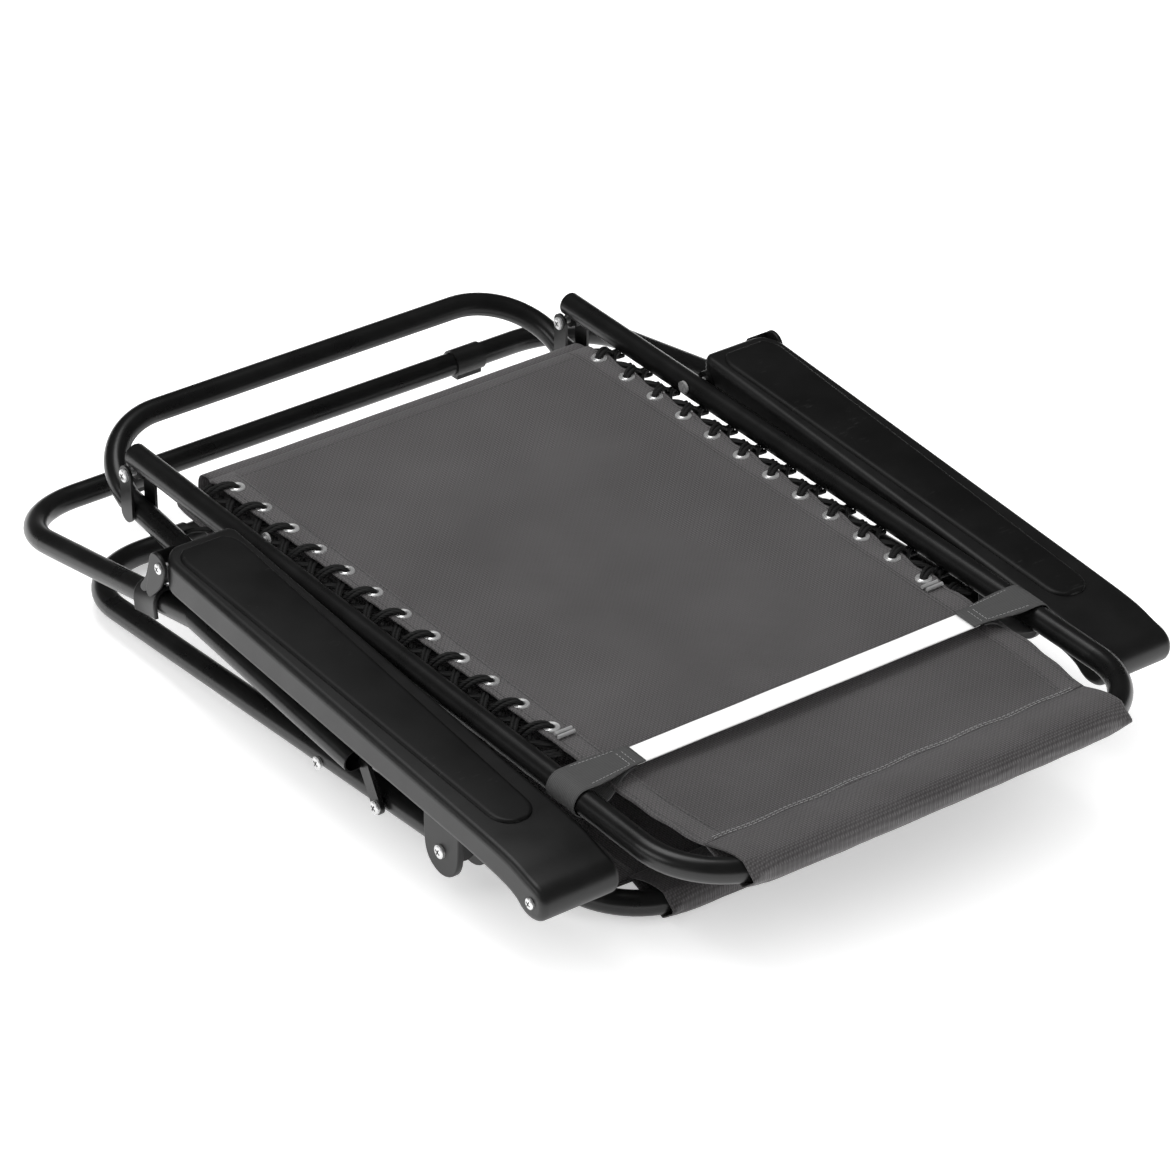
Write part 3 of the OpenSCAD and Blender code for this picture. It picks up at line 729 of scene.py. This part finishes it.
n = 64
lin = np.sin(np.linspace(-math.pi / 2, math.pi / 2, n))
top = np.array([[pillow_point(u, v, 1) for v in lin] for u in lin]).reshape(-1, 3)
low = np.array([[pillow_point(u, v, -1) for v in lin] for u in lin]).reshape(-1, 3)
faces = grid_faces(n, n)
faces += [tuple(k + n * n for k in f[::-1]) for f in faces]
pillow = make("head_pillow_cover", np.vstack([top, low]), faces, "webbing")
weld = pillow.modifiers.new("weld", "WELD")
weld.merge_threshold = 0.0004
place(pillow, "pillow", "webbing", "head_pillow")
pipe = Batch()
loop = [pillow_point(-1, v, 1) for v in lin] + [pillow_point(u, 1, 1) for u in lin[1:]] \
    + [pillow_point(1, v, 1) for v in lin[::-1][1:]] + [pillow_point(u, -1, 1) for u in lin[::-1][1:]]
tube(pipe, [(x, y, pil_z) for x, y, z in loop], 0.0019, 8)
place(pipe.done("head_pillow_piping", "webbing"), "pillow", "webbing")


# ---------------------------------------------------------------- armrests
def chaikin(points, times=3):
    p = np.asarray(points, float)
    for _ in range(times):
        q = np.roll(p, -1, axis=0)
        p = np.stack([0.75 * p + 0.25 * q, 0.25 * p + 0.75 * q], 1).reshape(-1, 2)
    return p


def offset(poly, d):
    """Closed outline moved inwards by d."""
    t = np.roll(poly, -1, axis=0) - np.roll(poly, 1, axis=0)
    t /= np.linalg.norm(t, axis=1)[:, None]
    n = np.column_stack([t[:, 1], -t[:, 0]])
    area = 0.5 * np.sum(poly[:, 0] * np.roll(poly[:, 1], -1) - np.roll(poly[:, 0], -1) * poly[:, 1])
    return poly - n * d * (1 if area > 0 else -1)


def zipped(outline, start, a, b):
    """Triangles that fill an outline between its two chains from point a to point b."""
    m = len(outline)
    one = [(a + k) % m for k in range((b - a) % m + 1)]
    two = [(a - k) % m for k in range((a - b) % m + 1)]
    i = j = 0
    tris = []
    while i < len(one) - 1 or j < len(two) - 1:
        if j == len(two) - 1 or (i < len(one) - 1 and (i + 1) / len(one) <= (j + 1) / len(two)):
            tris.append((start + one[i], start + one[i + 1], start + two[j]))
            i += 1
        else:
            tris.append((start + one[i], start + two[j + 1], start + two[j]))
            j += 1
    return [t for t in tris if len(set(t)) == 3]


def slab(batch, outline, x0, x1, bevel, steps=5, side=1, shape=None, ends=None):
    """Side outline (y, z) extruded from x0 to x1 with rounded rims.

    shape(x, y) moves points across; ends are the outline's two points that its flanks run between.
    """
    left = [(x0 + bevel * (1 - math.cos(math.pi / 2 * k / steps)),
             bevel * (1 - math.sin(math.pi / 2 * k / steps))) for k in range(steps + 1)]
    right = [(x1 - (x - x0), d) for x, d in left[::-1]]
    levels = left + right
    verts = []
    for x, d in levels:
        o = offset(outline, d)
        verts += [(side * (shape(x, y) if shape else x), y, z) for y, z in o]
    m = len(outline)
    faces = grid_faces(len(levels), m, 0, close_v=True)
    last = (len(levels) - 1) * m
    if ends:
        faces += [t[::-1] for t in zipped(outline, 0, *ends)] + zipped(outline, last, *ends)
    else:
        faces += [tuple(range(m))[::-1], tuple(range(last, last + m))]
    if side < 0:
        faces = [f[::-1] for f in faces]
    batch.add(verts, faces)


T = arm_top
ARM = [(ARM_REAR, T(0.179) - 0.004), (0.176, T(0.176)), (0.160, T(0.160)), (0.145, T(0.145)),
       (0.08, T(0.08)), (0.0, T(0)),
       (-0.1, T(-0.1)), (-0.2, T(-0.2)), (-0.29, T(-0.29)), (-0.322, T(-0.322) - 0.0005),
       (-0.338, 0.1020), (-0.352, 0.0975), (-0.366, 0.0945), (-0.3745, 0.0870), (-0.3755, 0.0745),
       (-0.3680, 0.0640), (-0.3560, 0.0612), (-0.3450, 0.0640), (-0.3360, 0.0715), (-0.3180, 0.0765),
       (-0.27, T(-0.27) - 0.0285), (-0.20, T(-0.2) - 0.0295), (-0.123, T(-0.123) - 0.031),
       (0.0, T(0) - 0.032), (0.08, T(0.08) - 0.033), (0.145, T(0.145) - 0.033),
       (0.160, T(0.16) - 0.033), (0.175, T(0.175) - 0.033),
       (0.179, T(0.179) - 0.030)]
LUG = [(-0.186, 0.116), (-0.185, 0.075), (-0.185, 0.050), (-0.1865, 0.034), (-0.194, 0.023),
       (-0.209, 0.0175), (-0.224, 0.023), (-0.2315, 0.034), (-0.2335, 0.050), (-0.2335, 0.080),
       (-0.2400, 0.110)]


def rear_round(y, r):
    """How far a corner of radius r at the armrest's rear end pulls its edge in at y."""
    t = min(max(y - (ARM_REAR - r), 0), r)
    return r - math.sqrt(r * r - t * t)


def arm_x(x, y):
    low, high = ARM_IN + rear_round(y, 0.010), ARM_OUT - rear_round(y, 0.026)
    return low + (x - ARM_IN) * (high - low) / (ARM_OUT - ARM_IN)


def pad_width(s):
    """Half width of the raised pad at share s of its length, from the nose end."""
    w = 0.0195 + 0.0115 * s
    nose_end, rear_end = s * 0.462, (1 - s) * 0.462
    r0, r1 = 0.020, 0.022
    if nose_end < r0:
        w = min(w, 0.0195 * math.sqrt(max(1 - ((r0 - nose_end) / r0) ** 2, 0)) + 0.0002)
    if rear_end < r1:
        w = min(w, 0.015 + (w - 0.015) * math.sqrt(max(1 - ((r1 - rear_end) / r1) ** 2, 0)))
    return w


for side, label in ((-1, "left"), (1, "right")):
    body = "arm_" + label
    shell = Batch()
    outline = chaikin(ARM, 3)
    rear = int(np.argmin(np.hypot(outline[:, 0] - ARM_REAR, outline[:, 1] - T(ARM_REAR) + 0.017)))
    nose = int(np.argmin(outline[:, 1]))
    slab(shell, outline, ARM_IN, ARM_OUT, 0.0062, 6, side, arm_x, (rear, nose))
    slab(shell, chaikin(LUG, 3), 0.2790, 0.2854, 0.0012, 3, side)
    slab(shell, chaikin(LUG, 3), 0.3086, 0.3150, 0.0012, 3, side)
    arm = shell.done("armrest_shell_" + label, "moulded_plastic")
    arm.data.set_sharp_from_angle(angle=math.radians(50))
    place(arm, body, "moulded_plastic", "armrest_" + label)

    mid = (ARM_IN + ARM_OUT) / 2
    rows = []
    ss = np.concatenate([np.linspace(0, 0.05, 26), np.linspace(0.05, 0.95, 90)[1:-1],
                         np.linspace(0.95, 1, 26)])
    for s in ss:
        y = -0.295 + 0.462 * s
        w = pad_width(s)
        ends = min(s * 0.462, (1 - s) * 0.462)
        line = []
        for t in np.sin(np.linspace(-math.pi / 2, math.pi / 2, 41)):
            d = min(w * (1 - abs(t)) + 0.0002, ends + 0.0001)
            rim = min(d / 0.0042, 1)
            h = 0.0030 * math.sqrt(max(1 - (1 - rim) ** 2, 0))
            h += 0.0008 * (1 - t * t) * min(ends / 0.03, 1)
            line.append((side * (mid + t * w), y, T(y) - 0.0006 + h))
        rows.append(line)
    rows = np.array(rows)
    if side > 0:
        rows = rows[:, ::-1]
    pad = grid("armrest_pad_top_" + label, rows, "arm_pad")
    place(thick(pad, 0.0012, -1.0), body, "arm_pad", "armrest_pad_" + label)


# ---------------------------------------------------------------- storage clips and screw heads
CLIP = (0.2013, 0.0886)
CLIP_TILT = math.atan2(0.048 - 0.098, 0.430 - 0.115)
EAR = [(0.1640, 0.128), (0.1605, 0.139), (0.1630, 0.147), (0.1710, 0.1515), (0.1800, 0.1505),
       (0.1850, 0.144), (0.1860, 0.132), (0.1895, 0.118), (0.1930, 0.107), (0.1880, 0.101),
       (0.1800, 0.108), (0.1700, 0.118)]
WEB = [(0.1815, 0.1485), (0.1845, 0.1460), (0.1875, 0.135), (0.1930, 0.119), (0.2040, 0.106),
       (0.1960, 0.102), (0.1860, 0.114), (0.1815, 0.128)]
for side, label in ((-1, "left"), (1, "right")):
    clip = Batch()
    slab(clip, chaikin(EAR, 3), 0.3338, 0.3376, 0.0010, 3, side)
    slab(clip, chaikin(WEB, 3), 0.3120, 0.3372, 0.0010, 3, side)
    arc = [(-0.0131, -0.0105), (-0.0131, -0.004)]
    arc += [(0.0131 * math.sin(a), 0.0131 * math.cos(a)) for a in np.radians(np.arange(-90, 91, 10))]
    arc += [(0.0131, -0.004), (0.0131, -0.0105)]
    section = [(1.10, x, z) for x, z in arc] + [(0.90, x, z) for x, z in arc[::-1]]
    widths = [-0.0172, -0.0168, -0.0156, -0.0140, 0, 0.0140, 0.0156, 0.0168, 0.0172]
    swell = [0.97, 1.02, 1.05, 1.0, 1.0, 1.0, 1.05, 1.02, 0.97]
    verts = []
    for w, f in zip(widths, swell):
        for k, x, z in section:
            grow = k * f if k > 1 else k
            xx, zz = x * grow, z * grow if z > 0 else z
            yy = w * math.cos(CLIP_TILT) - zz * math.sin(CLIP_TILT)
            verts.append((side * (0.320 + xx), CLIP[0] + yy,
                          CLIP[1] + w * math.sin(CLIP_TILT) + zz * math.cos(CLIP_TILT)))
    m = len(section)
    faces = grid_faces(len(widths), m, 0, close_v=True)
    faces += [(i, i + 1, m - 2 - i, m - 1 - i) for i in range(m // 2 - 1)]
    last = (len(widths) - 1) * m
    faces += [(last + m - 1 - i, last + m - 2 - i, last + i + 1, last + i) for i in range(m // 2 - 1)]
    clip.add(verts, faces if side > 0 else [f[::-1] for f in faces])
    obj = clip.done("storage_clip_moulding_" + label, "moulded_plastic")
    obj.data.set_sharp_from_angle(angle=math.radians(50))
    place(obj, "arm_" + label, "moulded_plastic", "storage_clip_" + label)


def screw_head(domes, marks, x, y, z, r, out):
    """Pan head that faces along X, with its cross recess drawn as dark bars: painted shade."""
    prof = [(0.0, 0.0012), (0.35, 0.00115), (0.65, 0.0009), (0.85, 0.0005), (0.97, 0.0),
            (0.97, -0.0006), (0, -0.0006)]
    a = np.linspace(0, 2 * math.pi, 28, endpoint=False)
    pts = np.array([[(x + out * h, y + max(q, 0.01) * r * math.cos(t),
                      z + max(q, 0.01) * r * math.sin(t)) for q, h in prof] for t in a])
    domes.add(pts.reshape(-1, 3), grid_faces(28, len(prof), 0, True, False))
    # The cross recess is not cut: black bars stand just proud of the dome, painted shade in the recess.
    for turn in (0.5, 0.5 + math.pi / 2):
        c, s_ = math.cos(turn), math.sin(turn)
        box = []
        for h in (-0.0002, 0.00128):
            for u, v in ((-0.52, -0.10), (0.52, -0.10), (0.52, 0.10), (-0.52, 0.10)):
                box.append((x + out * h, y + r * (u * c - v * s_), z + r * (u * s_ + v * c)))
        marks.add(box, [(0, 1, 2, 3), (7, 6, 5, 4), (0, 4, 5, 1), (1, 5, 6, 2), (2, 6, 7, 3),
                        (3, 7, 4, 0)])


# x of each head's face, y, z, radius, and the way it faces; both hinge bolts face the same way
HEADS = {"seat": [(x, *HINGE, BOLT_HEAD_R, -1) for x in (-0.256, 0.224)],
         "rear_leg": [], "arm_left": [], "arm_right": []}
for side, arm in ((-1, "arm_left"), (1, "arm_right")):
    HEADS["seat"].append((side * 0.3104, *SEAT_PIVOT, BOLT_HEAD_R, side))
    HEADS["rear_leg"].append((side * 0.3164, *LEG_PIVOT, BOLT_HEAD_R, side))
    low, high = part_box("arm_pivot_bolt_" + arm[4:])
    face = high[0] if side > 0 else low[0]
    HEADS[arm] += [(face, (low[1] + high[1]) / 2, (low[2] + high[2]) / 2, BOLT_HEAD_R, side),
                   (side * 0.3356, *NOSE_SCREW, SCREW_HEAD_R, side),
                   (side * 0.3390, *CLIP_SCREW, SCREW_HEAD_R, side)]
for body, heads in HEADS.items():
    domes, marks = Batch(), Batch()
    for h in heads:
        screw_head(domes, marks, *h)
    place(domes.done("screw_domes_" + body, "zinc"), body, "zinc")
    # the black crosses are painted shade of the screws' cross recesses
    place(marks.done("screw_recess_shade_" + body, "black_plastic"), body, "zinc")


# ---------------------------------------------------------------- floor, light and camera
FLOOR_GLOW = 0.40         # keeps the shadows on the floor pale
WORLD_LIGHT, WORLD_MIRRORED = 1.10, 0.05
CAMERA_AT = (-2.4035, -3.1832, 2.4439)
CAMERA_TURN, CAMERA_RISE = math.radians(-36.96), math.radians(30.65)
LENS_MM = 163.7

floor_mat, nt, bsdf = new_material("studio_floor")
co = object_coords(nt)
patchy = noise_node(nt, co, 1.5, 3.0)
nt.links.new(ramp(nt, patchy, [(0.3, 0.90), (0.7, 0.93)]), bsdf.inputs["Base Color"])
bsdf.inputs["Roughness"].default_value = 0.65
bsdf.inputs["Specular IOR Level"].default_value = 0.2
bsdf.inputs["Emission Color"].default_value = (1, 1, 1, 1)
bsdf.inputs["Emission Strength"].default_value = FLOOR_GLOW
M["studio_floor"] = floor_mat
floor = make("studio_floor", [(-14, -14, 0), (14, -14, 0), (14, 14, 0), (-14, 14, 0)], [(0, 1, 2, 3)],
             "studio_floor")

world = bpy.data.worlds.new("studio")
bpy.context.scene.world = world
world.use_nodes = True
wt = world.node_tree
wt.nodes["Background"].inputs["Color"].default_value = (1, 1, 1, 1)
wt.nodes["Background"].inputs["Strength"].default_value = WORLD_LIGHT
dim = wt.nodes.new("ShaderNodeBackground")
dim.inputs["Color"].default_value = (1, 1, 1, 1)
dim.inputs["Strength"].default_value = WORLD_MIRRORED
path_node = wt.nodes.new("ShaderNodeLightPath")
pick = wt.nodes.new("ShaderNodeMixShader")
wt.links.new(path_node.outputs["Is Glossy Ray"], pick.inputs["Fac"])
wt.links.new(wt.nodes["Background"].outputs[0], pick.inputs[1])
wt.links.new(dim.outputs[0], pick.inputs[2])
wt.links.new(pick.outputs[0], wt.nodes["World Output"].inputs["Surface"])


def softbox(name, at, target, size, power):
    data = bpy.data.lights.new(name, "AREA")
    data.shape = "RECTANGLE"
    data.size, data.size_y = size
    data.energy = power
    obj = bpy.data.objects.new(name, data)
    obj.location = at
    obj.rotation_euler = (Vector(target) - Vector(at)).to_track_quat("-Z", "Y").to_euler()
    bpy.context.scene.collection.objects.link(obj)


softbox("overhead_softbox", (-0.2, 0.7, 2.6), (0, 0, 0), (1.6, 1.1), 20)
softbox("left_softbox", (-2.8, 0.6, 1.5), (0, 0, 0.08), (1.6, 0.8), 12)

cam_data = bpy.data.cameras.new("camera")
cam = bpy.data.objects.new("camera", cam_data)
bpy.context.scene.collection.objects.link(cam)
cam_data.sensor_width = 36
cam_data.lens = LENS_MM
cam_data.clip_end = 60
cam.location = CAMERA_AT
az, el = CAMERA_TURN, CAMERA_RISE
back = Vector((math.sin(az) * math.cos(el), -math.cos(az) * math.cos(el), math.sin(el)))
cam.rotation_euler = (-back).to_track_quat("-Z", "Y").to_euler()
bpy.context.scene.camera = cam
bpy.context.scene.view_settings.view_transform = "Standard"
